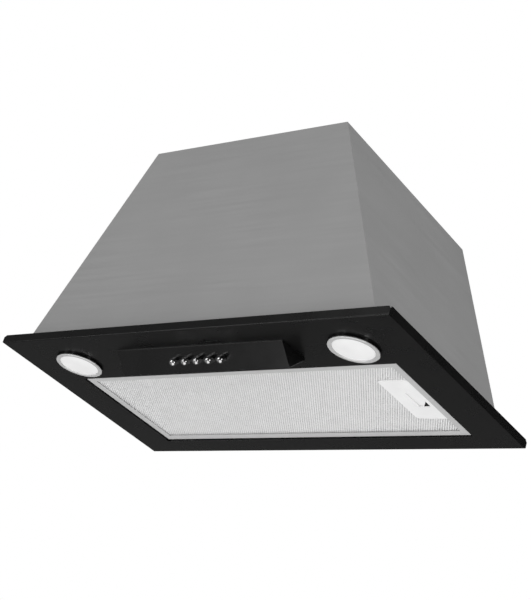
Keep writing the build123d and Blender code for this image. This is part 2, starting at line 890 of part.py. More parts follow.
with BuildPart() as motor_bracket:
    with BuildSketch(across(bracket_back)):
        with Locations((fan_x, fan_z)):
            Circle(bracket_hub_radius)
            with PolarLocations(bracket_reach / 2, 3, start_angle=arm_angles[0]):
                Rectangle(bracket_reach, bracket_width)
    extrude(amount=bracket_thickness)
    with BuildSketch(across(bracket_back)):
        with Locations((fan_x, fan_z)):
            with PolarLocations(leg_middle, 3, start_angle=arm_angles[0]):
                Rectangle(leg_depth, bracket_width)
    extrude(amount=bracket_back - scroll_half_depth)
    with BuildSketch(across(bracket_back)):
        with Locations((fan_x, fan_z)):
            with PolarLocations(leg_middle, 3, start_angle=arm_angles[0]):
                Circle(rim_hole_radius)
    extrude(amount=bracket_back - scroll_half_depth, mode=Mode.SUBTRACT)
keep(motor_bracket, "motor_bracket")

motor_seats = [
    (
        fan_x + leg_middle * math.cos(math.radians(angle)),
        bracket_back,
        fan_z + leg_middle * math.sin(math.radians(angle)),
    )
    for angle in arm_angles
]
leg_height = bracket_back - scroll_half_depth
motor_screws = screws(
    motor_seats, (0, -1, 0), rim_screw_radius, leg_height, head_radius=rim_screw_head
)
keep(motor_screws, "motor_screws")


# ---- Capacitor and terminal box ----

capacitor_x = 94.0
capacitor_z = 221.0
capacitor_radius = 15.0
capacitor_front = -70.0
capacitor_back = -10.0
strap_half_width = 6.0
strap_y = -40.0
strap_thickness = 1.0
capacitor_edge = 1.5

with BuildPart() as capacitor:
    with BuildSketch(across(capacitor_back)):
        with Locations((capacitor_x, capacitor_z)):
            Circle(capacitor_radius)
    extrude(amount=capacitor_back - capacitor_front)
    fillet(capacitor.edges().filter_by(GeomType.CIRCLE), capacitor_edge)
keep(capacitor, "capacitor")

with BuildPart() as capacitor_clip:
    with BuildSketch(across(strap_y + strap_half_width)):
        with Locations((capacitor_x, capacitor_z)):
            Circle(capacitor_radius + strap_thickness)
        with Locations((capacitor_x, lid_bottom - strap_thickness / 2)):
            Rectangle(2 * capacitor_radius, strap_thickness)
        with Locations((capacitor_x, (lid_bottom + capacitor_z) / 2)):
            Rectangle(2 * strap_half_width, lid_bottom - capacitor_z)
        with Locations((capacitor_x, capacitor_z)):
            Circle(capacitor_radius, mode=Mode.SUBTRACT)
    extrude(amount=2 * strap_half_width)
keep(capacitor_clip, "capacitor_clip")

box_x = (-124.0, -68.0)
box_y = (70.0, 124.0)
box_height = 30.0
box_bottom = lid_bottom - box_height
box_wall = 1.6
cover_thickness = 1.6
cover_screw_inset = 4.5
cover_screw_radius = 1.25
cover_screw_length = 10.0
cover_screw_head = 2.6
cover_hole_radius = cover_screw_radius + pin_clearance
post_radius = 3.5
post_height = 20.0
post_hole_depth = 12.0
box_middle = (sum(box_x) / 2, sum(box_y) / 2)
box_post_spacing_x = box_x[1] - box_x[0] - 2 * cover_screw_inset
box_post_spacing_y = box_y[1] - box_y[0] - 2 * cover_screw_inset
box_posts = [
    (box_middle[0] + side * box_post_spacing_x / 2, box_middle[1] + side * box_post_spacing_y / 2)
    for side in (-1, 1)
]

with BuildPart() as terminal_box:
    block(box_x, box_y, (box_bottom, lid_bottom))
    block(
        (box_x[0] + box_wall, box_x[1] - box_wall),
        (box_y[0] + box_wall, box_y[1] - box_wall),
        (box_bottom, lid_bottom - box_wall),
        mode=Mode.SUBTRACT,
    )
    with BuildSketch(Plane.XY.offset(box_bottom)):
        with Locations(*box_posts):
            Circle(post_radius)
    extrude(amount=post_height)
    with BuildSketch(Plane.XY.offset(box_bottom)):
        with Locations(*box_posts):
            Circle(cover_hole_radius)
    extrude(amount=post_hole_depth, mode=Mode.SUBTRACT)
    with BuildSketch(Plane.XY.offset(lid_bottom)):
        with Locations((gland_x, gland_y)):
            Circle(gland_radius)
    extrude(amount=-2 * box_wall, mode=Mode.SUBTRACT)
keep(terminal_box, "terminal_box")

with BuildPart() as terminal_cover:
    block(box_x, box_y, (box_bottom - cover_thickness, box_bottom))
    with BuildSketch(Plane.XY.offset(box_bottom)):
        with Locations(*box_posts):
            Circle(cover_hole_radius)
    extrude(amount=-cover_thickness, mode=Mode.SUBTRACT)
keep(terminal_cover, "terminal_cover")

cover_seats = [(x, y, box_bottom - cover_thickness) for x, y in box_posts]
cover_screws = screws(
    cover_seats, (0, 0, 1), cover_screw_radius, cover_screw_length, head_radius=cover_screw_head
)
keep(cover_screws, "cover_screws")

terminal_size = (36.0, 12.0, 12.0)
terminal_count = 4
terminal_hole_radius = 2.4
terminal_hole_depth = 5.0
terminal_centre = (box_middle[0], box_middle[1] - 14.0)

with BuildPart() as terminal_block:
    block(
        about(terminal_centre[0], terminal_size[0] / 2),
        about(terminal_centre[1], terminal_size[1] / 2),
        (box_bottom, box_bottom + terminal_size[2]),
    )
    with BuildSketch(Plane.XY.offset(box_bottom + terminal_size[2])):
        with Locations(terminal_centre):
            with GridLocations(terminal_size[0] / terminal_count, 0, terminal_count, 1):
                Circle(terminal_hole_radius)
    extrude(amount=-terminal_hole_depth, mode=Mode.SUBTRACT)
keep(terminal_block, "terminal_block")

gland_nut_height = 4.0
gland_hex_radius = 12.5
gland_hex_height = 5.0
gland_dome_radius = 9.5
gland_height = 16.0
gland_top = casing_height + gland_height
gland_edge = 3.0
gland_bore = 4.0
box_ceiling = lid_bottom - box_wall

with BuildPart() as cable_gland:
    with BuildSketch(Plane.XY.offset(casing_height)):
        with Locations((gland_x, gland_y)):
            RegularPolygon(gland_hex_radius, 6)
    extrude(amount=gland_hex_height)
    with BuildSketch(Plane.XY.offset(casing_height)):
        with Locations((gland_x, gland_y)):
            Circle(gland_dome_radius)
    extrude(amount=gland_top - casing_height)
    fillet(cable_gland.edges().filter_by(GeomType.CIRCLE).sort_by(Axis.Z)[-1], gland_edge)
    with BuildSketch(Plane.XY.offset(box_ceiling)):
        with Locations((gland_x, gland_y)):
            Circle(gland_radius)
    extrude(amount=casing_height - box_ceiling)
    with BuildSketch(Plane.XY.offset(box_ceiling)):
        with Locations((gland_x, gland_y)):
            RegularPolygon(gland_hex_radius, 6)
    extrude(amount=-gland_nut_height)
    with BuildSketch(Plane.XY.offset(gland_top)):
        with Locations((gland_x, gland_y)):
            Circle(gland_bore)
    extrude(amount=-2 * gland_top, mode=Mode.SUBTRACT)
keep(cable_gland, "cable_gland")


# ---- Leads inside the casing ----

lead_radius = 2.5
bend_share = 0.45


def lead(route, name):
    """A lead along this route, with each bend as wide as its two runs allow."""
    points = [Vector(*point) for point in route]
    radii = []
    for before, here, after in zip(points, points[1:], points[2:]):
        arriving = here - before
        leaving = after - here
        half_turn = math.radians(arriving.get_angle(leaving)) / 2
        radii.append(bend_share * min(arriving.length, leaving.length) / math.tan(half_turn))
    with BuildPart() as piece:
        with BuildLine() as path:
            FilletPolyline(*route, radius=radii)
        with BuildSketch(Plane(origin=path.line @ 0, z_dir=path.line % 0)):
            Circle(lead_radius)
        sweep()
    keep(piece, name)


lead(
    (
        (-lamp_x, lamp_y, lamp_can_top),
        (-lamp_x, lamp_y, 42),
        (-194, -50, 62),
        (-193, 0, 70),
        (-186, 50, 84),
        (-176, 90, 112),
        (-160, 108, 148),
        (-146, 108, 188),
        (-138, 102, 212),
        (-137, 100, 226),
        (box_x[0], 100, 226),
    ),
    "lamp_lead_left",
)
lead(
    (
        (lamp_x, lamp_y, lamp_can_top),
        (lamp_x, lamp_y, 42),
        (184, -50, 60),
        (178, 0, 66),
        (166, 52, 70),
        (140, 92, 78),
        (98, 108, 92),
        (44, 112, 112),
        (-8, 110, 138),
        (-46, 108, 172),
        (-52, 102, 208),
        (-54, 100, 226),
        (box_x[1], 100, 226),
    ),
    "lamp_lead_right",
)

# The switch's lead comes out of its upper side, left of its middle.
switch_exit_along = -30.0
switch_exit_deep = 38.0
switch_exit = face_plane().from_local_coords(
    Vector(switch_exit_along, switch_half_height, -switch_exit_deep)
)

lead(
    (
        tuple(switch_exit),
        (switch_exit.X, switch_exit.Y - 14, switch_exit.Z + 13),
        (-52, -104, 42),
        (-92, -112, 58),
        (-136, -110, 72),
        (-168, -92, 82),
        (-186, -50, 88),
        (-188, 0, 90),
        (-185, 50, 98),
        (-170, 86, 124),
        (-152, 94, 160),
        (-141, 89, 196),
        (-140, 84, 224),
        (box_x[0], 84, 224),
    ),
    "switch_lead",
)
lead(
    (
        (fan_x, bracket_back, fan_z + 12),
        (fan_x, bracket_back + 18, fan_z + 12),
        (fan_x - 8, bracket_back + 28, fan_z + 36),
        (fan_x - 18, bracket_back + 24, fan_z + 62),
        (fan_x - 18, bracket_back + 24, box_bottom - cover_thickness),
    ),
    "motor_lead",
)


# ---- Grease filter and its slide latch ----

frame_y = about(filter_centre_y, filter_width / 2)
filter_top = filter_bottom + filter_height
groove_bottom = filter_bottom + filter_foil
groove_top = filter_top - filter_foil
mesh_slack = 0.2
mesh_inset = filter_foil + mesh_slack
outer_mesh_thickness = 0.6
lower_mesh_lift = 1.6
upper_mesh_lift = 7.2
inner_mesh_thickness = 0.4
inner_mesh_lift = 3.0
inner_mesh_step = 1.2
inner_mesh_count = 3

latch_half_width = 42.0
latch_left = 167.5
latch_right = filter_right - filter_lip
latch_wall = 1.4
latch_slope = 1.4
latch_left_bottom = filter_bottom + latch_slope
latch_floor_thickness = 2.0
latch_floor = filter_bottom + latch_floor_thickness
latch_corner = 2.5
latch_gap = 0.2
latch_travel = 5.5

rib_x = (191.6, 200.2)
window_margin = 0.5
window_x = (rib_x[0] - latch_travel - window_margin, rib_x[1] + clearance)
window_half_width = 15.6

slider_bottom = latch_floor + clearance
slider_thickness = 1.4
slider_left = 184.0
slider_right = 204.0
slider_half_width = 19.0
rail_overrun = 8.0
rail_gap = 1.0
tongue_bottom = upstand_top + clearance
tongue_thickness = 1.5
tongue_half_width = 8.0
tongue_root = 4.0
tongue_left = slider_right - tongue_root
tongue_right = filter_right + filter_gap - clearance

with BuildPart() as filter_frame:
    block(about(0, filter_right), frame_y, (filter_bottom, filter_top))
    block(
        about(0, filter_right - filter_lip),
        about(filter_centre_y, filter_width / 2 - filter_lip),
        (filter_bottom, filter_top),
        mode=Mode.SUBTRACT,
    )
    block(
        about(0, filter_right - filter_foil),
        about(filter_centre_y, filter_width / 2 - filter_foil),
        (groove_bottom, groove_top),
        mode=Mode.SUBTRACT,
    )
    block(
        (filter_right - filter_lip, filter_right),
        about(filter_centre_y, tongue_half_width + clearance),
        (tongue_bottom - clearance, tongue_bottom + tongue_thickness + clearance),
        mode=Mode.SUBTRACT,
    )
keep(filter_frame, "filter_frame")


def mesh_sheets(layers):
    """Flat mesh sheets inside the frame, cut away round the latch, as (bottom, thickness)."""
    with BuildPart() as piece:
        for bottom, thickness in layers:
            with BuildSketch(Plane.XY.offset(bottom)):
                with Locations((0, filter_centre_y)):
                    Rectangle(filter_length - 2 * mesh_inset, filter_width - 2 * mesh_inset)
                with Locations(((latch_left - latch_gap + filter_right) / 2, filter_centre_y)):
                    Rectangle(
                        filter_right - latch_left + latch_gap,
                        2 * (latch_half_width + latch_gap),
                        mode=Mode.SUBTRACT,
                    )
            extrude(amount=thickness)
    return piece


lower_layer = (filter_bottom + lower_mesh_lift, outer_mesh_thickness)
upper_layer = (filter_bottom + upper_mesh_lift, outer_mesh_thickness)
inner_layers = [
    (filter_bottom + inner_mesh_lift + inner_mesh_step * number, inner_mesh_thickness)
    for number in range(inner_mesh_count)
]
keep(mesh_sheets([lower_layer]), "filter_mesh_lower")
keep(mesh_sheets(inner_layers), "filter_mesh_inner")
keep(mesh_sheets([upper_layer]), "filter_mesh_upper")

with BuildPart() as latch_housing:
    with BuildSketch(across(filter_centre_y + latch_half_width)):
        with BuildLine():
            Polyline(
                (latch_left, latch_left_bottom),
                (latch_right, filter_bottom),
                (latch_right, groove_top),
                (latch_left, groove_top),
                close=True,
            )
        make_face()
    extrude(amount=2 * latch_half_width)
    front_corners = latch_housing.edges().filter_by(Axis.Z).group_by(Axis.X)[0]
    fillet(front_corners, latch_corner)
    block(
        (latch_left + latch_wall, latch_right - latch_wall),
        about(filter_centre_y, latch_half_width - latch_wall),
        (latch_floor, groove_top),
        mode=Mode.SUBTRACT,
    )
    block(
        window_x,
        about(filter_centre_y, window_half_width),
        (filter_bottom - clearance, latch_floor),
        mode=Mode.SUBTRACT,
    )
    block(
        (latch_right - latch_wall, latch_right),
        about(filter_centre_y, slider_half_width + clearance),
        (latch_floor, groove_top),
        mode=Mode.SUBTRACT,
    )
    for way in (-1, 1):
        rail_start = filter_centre_y + way * (slider_half_width + clearance)
        rail_span = sorted((rail_start, rail_start + way * latch_wall))
        rail_x = (slider_left - rail_overrun, latch_right)
        block(rail_x, rail_span, (latch_floor, groove_top - rail_gap))
keep(latch_housing, "latch_housing")

rib_half_width = window_half_width - clearance
rib_bottom = filter_bottom + 0.9
hollow_end_margin = 0.6
hollow_side_margin = 0.3
hollow_left = rib_x[0] + hollow_side_margin
hollow_right = rib_x[1] - hollow_side_margin
hollow_rear = filter_centre_y + rib_half_width - hollow_end_margin
hollow_reach = 11.0

with BuildPart() as latch_slider:
    block(
        (slider_left, slider_right),
        about(filter_centre_y, slider_half_width),
        (slider_bottom, slider_bottom + slider_thickness),
    )
    block(
        (tongue_left, tongue_right),
        about(filter_centre_y, tongue_half_width),
        (tongue_bottom, tongue_bottom + tongue_thickness),
    )
    block(
        (tongue_left, slider_right),
        about(filter_centre_y, tongue_half_width),
        (slider_bottom, tongue_bottom + tongue_thickness),
    )
    block(rib_x, about(filter_centre_y, rib_half_width), (rib_bottom, slider_bottom))
    with BuildSketch(Plane.XY.offset(rib_bottom)):
        with BuildLine():
            Polyline(
                (hollow_left, hollow_rear),
                (hollow_right, hollow_rear),
                (hollow_right, hollow_rear - hollow_reach),
                close=True,
            )
        make_face()
    extrude(amount=filter_height, mode=Mode.SUBTRACT)
keep(latch_slider, "latch_slider")

lug_sheet = 0.8
lug_reach = 5.5
lug_half_width = 7.0
lug_shift = 55.0
lug_bottom = upstand_top + clearance

with BuildPart() as filter_lugs:
    for way in (-1, 1):
        y_span = about(filter_centre_y + way * lug_shift, lug_half_width)
        block((filter_left - lug_sheet, filter_left), y_span, (groove_bottom, lug_bottom + lug_sheet))
        block((filter_left - lug_reach, filter_left), y_span, (lug_bottom, lug_bottom + lug_sheet))
keep(filter_lugs, "filter_lugs")
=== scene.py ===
import math
import random

import bpy
from mathutils import Matrix, Vector


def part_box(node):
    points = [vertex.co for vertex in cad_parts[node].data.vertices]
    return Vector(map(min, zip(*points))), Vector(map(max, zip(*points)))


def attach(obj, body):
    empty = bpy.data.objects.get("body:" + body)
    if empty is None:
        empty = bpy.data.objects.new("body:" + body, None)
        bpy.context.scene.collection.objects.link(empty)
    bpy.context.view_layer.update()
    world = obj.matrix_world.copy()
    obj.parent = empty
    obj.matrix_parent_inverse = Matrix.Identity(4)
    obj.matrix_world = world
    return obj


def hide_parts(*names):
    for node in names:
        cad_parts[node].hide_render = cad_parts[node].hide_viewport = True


# A built-in cooker hood, seen from below and in front, hung in a plain white studio.
# Metres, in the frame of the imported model: +X to the right, -Y to the front, +Z up.

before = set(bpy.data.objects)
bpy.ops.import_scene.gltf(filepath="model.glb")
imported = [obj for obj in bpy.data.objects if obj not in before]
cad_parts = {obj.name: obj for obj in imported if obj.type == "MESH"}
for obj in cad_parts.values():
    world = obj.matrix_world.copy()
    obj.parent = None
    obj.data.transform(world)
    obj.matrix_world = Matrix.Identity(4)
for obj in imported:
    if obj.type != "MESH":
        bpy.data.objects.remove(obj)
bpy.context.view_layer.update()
MM = 0.001


# ---- Camera ----

view_azimuth = math.radians(42.799)
view_elevation = math.radians(-25.659)
view_roll = math.radians(16.955)
view_distance = 1.647
aim_right = -0.01076
aim_up = -0.09417
lens_mm = 90.14


def add_camera():
    """The camera looks up at the hood from the front right, and is tilted about its own axis."""
    back = Vector((
        math.sin(view_azimuth) * math.cos(view_elevation),
        -math.cos(view_azimuth) * math.cos(view_elevation),
        math.sin(view_elevation),
    ))
    level_right = Vector((0, 0, 1)).cross(back).normalized()
    level_up = back.cross(level_right)
    right = level_right * math.cos(view_roll) + level_up * math.sin(view_roll)
    up = level_up * math.cos(view_roll) - level_right * math.sin(view_roll)
    camera = bpy.data.objects.new("camera", bpy.data.cameras.new("camera"))
    bpy.context.scene.collection.objects.link(camera)
    camera.data.lens = lens_mm
    turned = Matrix((right, up, back)).transposed().to_4x4()
    place = back * view_distance - right * aim_right - up * aim_up
    camera.matrix_world = Matrix.Translation(place) @ turned
    bpy.context.scene.camera = camera


# ---- Procedural materials ----


class Finish:
    """A procedural material: one Principled shader and the nodes that feed it."""

    def __init__(self, name, metallic=0.0):
        self.material = bpy.data.materials.new(name)
        self.material.use_nodes = True
        self.tree = self.material.node_tree
        self.shader = self.tree.nodes["Principled BSDF"]
        self.shader.inputs["Metallic"].default_value = metallic
        self.place = self.node("ShaderNodeTexCoord").outputs["Object"]

    def node(self, kind, **settings):
        made = self.tree.nodes.new(kind)
        for setting, value in settings.items():
            setattr(made, setting, value)
        return made

    def feed(self, socket, source):
        """Joins a node's output to a socket, or sets the socket to a plain number."""
        if isinstance(source, bpy.types.NodeSocket):
            self.tree.links.new(source, socket)
        else:
            socket.default_value = source

    def stretched(self, stretch):
        """The object's coordinates, scaled so that patterns are longer along some axes."""
        mapping = self.node("ShaderNodeMapping")
        self.feed(mapping.inputs["Vector"], self.place)
        mapping.inputs["Scale"].default_value = [1 / part for part in stretch]
        return mapping.outputs["Vector"]

    def noise(self, size, detail=2.0, stretch=(1, 1, 1)):
        """Soft noise from 0 to 1, with patches about size metres across."""
        made = self.node("ShaderNodeTexNoise")
        self.feed(made.inputs["Vector"], self.stretched(stretch))
        made.inputs["Scale"].default_value = 1 / size
        made.inputs["Detail"].default_value = detail
        return made.outputs["Fac"]

    def crystals(self, size, stretch):
        """A different grey for each cell, with cells about size metres across."""
        made = self.node("ShaderNodeTexVoronoi")
        self.feed(made.inputs["Vector"], self.stretched(stretch))
        made.inputs["Scale"].default_value = 1 / size
        split = self.node("ShaderNodeSeparateColor")
        self.feed(split.inputs["Color"], made.outputs["Color"])
        return split.outputs["Red"]

    def spread(self, source, low, high, start=0.3, end=0.7):
        """Maps source from start..end to low..high, clamped."""
        made = self.node("ShaderNodeMapRange")
        self.feed(made.inputs["Value"], source)
        values = (("From Min", start), ("From Max", end), ("To Min", low), ("To Max", high))
        for socket, value in values:
            made.inputs[socket].default_value = value
        return made.outputs["Result"]

    def product(self, first, second):
        made = self.node("ShaderNodeMath", operation="MULTIPLY")
        self.feed(made.inputs[0], first)
        self.feed(made.inputs[1], second)
        return made.outputs["Value"]

    def blend(self, amount, first, second):
        """A colour between first and second, by amount."""
        made = self.node("ShaderNodeMix", data_type="RGBA")
        colours = [socket for socket in made.inputs if socket.type == "RGBA"]
        self.feed(made.inputs["Factor"], amount)
        for socket, colour in zip(colours, (first, second)):
            self.feed(socket, colour)
        return [socket for socket in made.outputs if socket.type == "RGBA"][0]

    def colour(self, source):
        self.feed(self.shader.inputs["Base Color"], source)

    def roughness(self, source):
        self.feed(self.shader.inputs["Roughness"], source)

    def bump(self, height, depth):
        """Gives the surface a relief of depth metres, as high as height says."""
        made = self.node("ShaderNodeBump")
        made.inputs["Strength"].default_value = 1.0
        made.inputs["Distance"].default_value = depth
        self.feed(made.inputs["Height"], height)
        self.feed(self.shader.inputs["Normal"], made.outputs["Normal"])


def grey(value, warm=0.0):
    """A grey as a colour, a little warmer or cooler."""
    return (value * (1 + warm), value, value * (1 - warm), 1.0)


def painted_black(name, value, peel_size, peel_depth, roughness):
    """A satin black surface: its colour comes almost only from what it mirrors."""
    finish = Finish(name)
    cloud = finish.noise(35 * MM, detail=3)
    finish.colour(finish.blend(cloud, grey(0.8 * value), grey(1.2 * value)))
    finish.roughness(finish.spread(cloud, *roughness))
    finish.bump(finish.noise(peel_size), peel_depth)
    return finish.material


def black_sheet():
    return painted_black(
        "black_lacquer", 0.0030, peel_size=1.6 * MM, peel_depth=0.002 * MM, roughness=(0.25, 0.32)
    )


def black_plastic():
    return painted_black(
        "black_moulding", 0.0040, peel_size=0.7 * MM, peel_depth=0.003 * MM, roughness=(0.15, 0.22)
    )


def button_chrome():
    """Polished chrome, a little smeared."""
    finish = Finish("polished_chrome", metallic=1.0)
    smear = finish.noise(3 * MM)
    finish.colour(finish.blend(smear, grey(0.80), grey(0.90)))
    finish.roughness(finish.spread(smear, 0.04, 0.10))
    finish.bump(finish.noise(0.8 * MM), 0.002 * MM)
    return finish.material


def casing_grey():
    """Coated sheet steel, with the long faint streaks of rolling."""
    finish = Finish("coated_sheet", metallic=0.25)
    cloud = finish.noise(90 * MM, detail=3)
    streak = finish.noise(4 * MM, detail=4, stretch=(30, 30, 1))
    mottle = finish.product(cloud, streak)
    amount = finish.spread(mottle, 0, 1, start=0.1, end=0.4)
    finish.colour(finish.blend(amount, grey(0.268), grey(0.288)))
    finish.roughness(finish.spread(streak, 0.42, 0.54))
    finish.bump(finish.noise(0.5 * MM), 0.006 * MM)
    return finish.material


def metal(name, value, roughness, grain, relief, warm=0.0, stretch=(1, 1, 1), bare=1.0):
    """Metal, bare or under a pale film: a cloudy colour, a directed grain and fine relief."""
    finish = Finish(name, metallic=bare)
    cloud = finish.noise(12 * MM, detail=3)
    lines = finish.noise(grain, detail=4, stretch=stretch)
    finish.colour(finish.blend(cloud, grey(0.92 * value, warm), grey(1.04 * value, warm)))
    finish.roughness(finish.spread(lines, *roughness))
    finish.bump(lines, relief)
    return finish.material


def bright_steel():
    return metal(
        "zinc_plate", 0.62, warm=0.01, roughness=(0.22, 0.36), grain=0.4 * MM, relief=0.01 * MM
    )


def frame_aluminium():
    return metal(
        "rolled_aluminium", 0.60, roughness=(0.34, 0.46), grain=0.5 * MM, stretch=(40, 1, 1),
        relief=0.008 * MM, bare=0.15,
    )


def mesh_aluminium():
    return metal(
        "mesh_aluminium", 0.97, roughness=(0.30, 0.42), grain=1.5 * MM, relief=0.01 * MM, bare=0.12
    )


def inner_mesh_painted_shade():
    """The layers behind the outer lattice, with a coarse relief, painted greyer: painted shade for
    the shadow that falls among the deeper layers.
    """
    return metal(
        "inner_mesh_painted_shade", 0.69, roughness=(0.40, 0.55), grain=1.5 * MM, relief=0.2 * MM, bare=0.12
    )


def motor_steel():
    return metal(
        "motor_steel", 0.45, warm=0.01, roughness=(0.28, 0.42), grain=0.4 * MM,
        stretch=(1, 20, 1), relief=0.01 * MM,
    )


def blower_steel():
    """Galvanised sheet, with its pattern of zinc crystals."""
    finish = Finish("galvanised_sheet", metallic=1.0)
    flake = finish.crystals(7 * MM, stretch=(1, 1, 1.6))
    finish.colour(finish.blend(flake, grey(0.44, -0.01), grey(0.60, -0.01)))
    finish.roughness(finish.spread(flake, 0.34, 0.52, start=0, end=1))
    finish.bump(finish.noise(0.6 * MM), 0.01 * MM)
    return finish.material


def plastic(name, value, roughness, grain, relief, warm=0.0, metallic=0.0):
    """Moulded plastic: an even colour with faint clouding and a fine matt grain."""
    finish = Finish(name, metallic)
    cloud = finish.noise(20 * MM, detail=3)
    colour = grey(value, warm)
    light = tuple(min(1.0, 1.05 * part) for part in colour[:3]) + (1.0,)
    dark = tuple(0.95 * part for part in colour[:3]) + (1.0,)
    finish.colour(finish.blend(cloud, dark, light))
    finish.roughness(finish.spread(cloud, *roughness))
    finish.bump(finish.noise(grain), relief)
    return finish.material


def collar_plastic():
    return plastic(
        "collar_plastic", 0.018, roughness=(0.34, 0.46), grain=0.35 * MM, relief=0.02 * MM
    )


def flap_plastic():
    return plastic(
        "flap_plastic", 0.028, roughness=(0.36, 0.48), grain=0.35 * MM, relief=0.02 * MM
    )


def latch_plastic():
    return plastic(
        "latch_plastic", 0.88, roughness=(0.34, 0.44), grain=0.5 * MM, relief=0.008 * MM
    )


def bezel_plastic():
    """Plastic with a thin bright metal coat."""
    return plastic(
        "bezel_plastic", 0.80, roughness=(0.08, 0.15), grain=0.6 * MM, relief=0.004 * MM,
        metallic=0.45,
    )


def lens_frosted():
    """Frosted cover: milky, with a faint grain."""
    return plastic(
        "lens_frosted", 0.88, roughness=(0.30, 0.42), grain=0.7 * MM, relief=0.01 * MM
    )


def circuit_board():
    return plastic(
        "board_resist", 0.70, roughness=(0.30, 0.45), grain=0.5 * MM, relief=0.01 * MM
    )


def impeller_plastic():
    return plastic(
        "impeller_plastic", 0.05, roughness=(0.32, 0.42), grain=0.4 * MM, relief=0.015 * MM
    )


def capacitor_white():
    return plastic(
        "capacitor_case", 0.68, warm=0.02, roughness=(0.30, 0.42), grain=0.5 * MM,
        relief=0.01 * MM,
    )


def box_plastic():
    return plastic(
        "box_plastic", 0.52, warm=0.01, roughness=(0.38, 0.52), grain=0.4 * MM, relief=0.02 * MM
    )


def terminal_plastic():
    return plastic(
        "terminal_plastic", 0.74, warm=0.03, roughness=(0.40, 0.50), grain=0.4 * MM,
        relief=0.015 * MM,
    )


def switch_plastic():
    return plastic(
        "switch_plastic", 0.024, roughness=(0.34, 0.44), grain=0.4 * MM, relief=0.015 * MM
    )


def lead_sleeve():
    return plastic("lead_sleeve", 0.12, roughness=(0.36, 0.48), grain=0.5 * MM, relief=0.02 * MM)


finishes = {
    build.__name__: build()
    for build in (
        black_sheet, black_plastic, button_chrome, casing_grey, bright_steel, frame_aluminium,
        mesh_aluminium, inner_mesh_painted_shade, motor_steel, blower_steel, collar_plastic, flap_plastic,
        latch_plastic, bezel_plastic, lens_frosted, circuit_board, impeller_plastic,
        capacitor_white, box_plastic, terminal_plastic, switch_plastic, lead_sleeve,
    )
}


def finish_cad_nodes():
    """Gives every CAD node the finish that its own material is named after, but for the inner
    filter mesh, which gets a greyer finish of painted shade.
    """
    for name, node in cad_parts.items():
        for material_slot in node.material_slots:
            # The inner filter mesh is painted greyer, as painted shade.
            is_inner_mesh = name == "filter_mesh_inner"
            finish_name = "inner_mesh_painted_shade" if is_inner_mesh else material_slot.material.name
            material_slot.material = finishes[finish_name]


# ---- New pieces ----


def add_piece(name, vertices, faces, slot, body):
    """A new flat-shaded mesh in the object's frame, with its finish, riding on its body."""
    mesh = bpy.data.meshes.new(name)
    mesh.from_pydata(vertices, [], faces)
    mesh.materials.append(finishes[slot])
    mesh.shade_flat()
    mesh.update()
    piece = bpy.data.objects.new(name, mesh)
    bpy.context.scene.collection.objects.link(piece)
    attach(piece, body)
    return piece


# ---- Grease filter mesh ----

diamond_x = 3.0 * MM
diamond_y = 5.0 * MM
strand_width = 1.0 * MM
strand_thickness = 0.3 * MM
strand_tilt = math.radians(22)
strand_tilt_spread = math.radians(9)
latch_margin = 0.5 * MM
lower_seed = 3
upper_seed = 7

# The faces of a box whose corners are four at its start and the same four at its end.
PRISM_FACES = (
    (0, 1, 2, 3), (7, 6, 5, 4), (0, 4, 5, 1), (1, 5, 6, 2), (2, 6, 7, 3), (3, 7, 4, 0),
)


def strand(start, end, tilt):
    """The eight corners of a flat strip turned about its own length.

    It runs past both its points by a third of its width, so that crossing strips join.
    """
    along = (end - start).normalized()
    level = Vector((-along.y, along.x, 0))
    across = level * math.cos(tilt) + Vector((0, 0, math.sin(tilt)))
    through = along.cross(across).normalized() * (strand_thickness / 2)
    across = across * (strand_width / 2)
    return [
        point + side * across + face * through
        for point in (start - along * strand_width / 3, end + along * strand_width / 3)
        for side, face in ((-1, -1), (1, -1), (1, 1), (-1, 1))
    ]


def add_expanded_mesh(name, node, seed, hidden=()):
    """A sheet of stretched-metal diamonds, as large as the CAD node that it replaces.

    No strand has its middle inside one of the boxes in hidden.
    """
    low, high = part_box(node)
    middle_z = (low.z + high.z) / 2
    chance = random.Random(seed)
    columns = math.floor((high.x - low.x) / diamond_x * 2)
    rows = math.floor((high.y - low.y) / diamond_y * 2)
    vertices = []
    faces = []

    def joint_at(column, row):
        x = low.x + column * diamond_x / 2
        y = low.y + row * diamond_y / 2
        return Vector((x, y, middle_z))

    def is_hidden(point):
        return any(
            corner.x < point.x < other.x and corner.y < point.y < other.y
            for corner, other in hidden
        )

    for column in range(columns):
        for row in range(rows + 1):
            if (column + row) % 2:
                continue
            for turn in (-1, 1):
                if not 0 <= row + turn <= rows:
                    continue
                start = joint_at(column, row)
                end = joint_at(column + 1, row + turn)
                if max(start.x, end.x) > high.x or max(start.y, end.y) > high.y:
                    continue
                if is_hidden((start + end) / 2):
                    continue
                tilt = turn * strand_tilt + chance.uniform(-1, 1) * strand_tilt_spread
                first = len(vertices)
                vertices += strand(start, end, tilt)
                faces += [[first + corner for corner in face] for face in PRISM_FACES]
    piece = add_piece(name, vertices, faces, "mesh_aluminium", "filter")
    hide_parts(node)


def add_filter_meshes():
    """The lower mesh has no strands where the latch's housing covers it."""
    housing_low, housing_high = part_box("latch_housing")
    margin = Vector((latch_margin, latch_margin, 0))
    under_latch = (housing_low + margin, housing_high - margin)
    add_expanded_mesh("filter_mesh_outer", "filter_mesh_lower", lower_seed, [under_latch])
    add_expanded_mesh("filter_mesh_top", "filter_mesh_upper", upper_seed)


# ---- Arrow in the latch's thumb grip ----

arrow_start = 7.95 * MM
arrow_width = 7.9 * MM
arrow_rear = 14.65 * MM
arrow_length = 10.85 * MM
arrow_recess = 0.1 * MM
arrow_thickness = 1.0 * MM
arrow_bevel = 0.1 * MM
arrow_shrink = 0.96


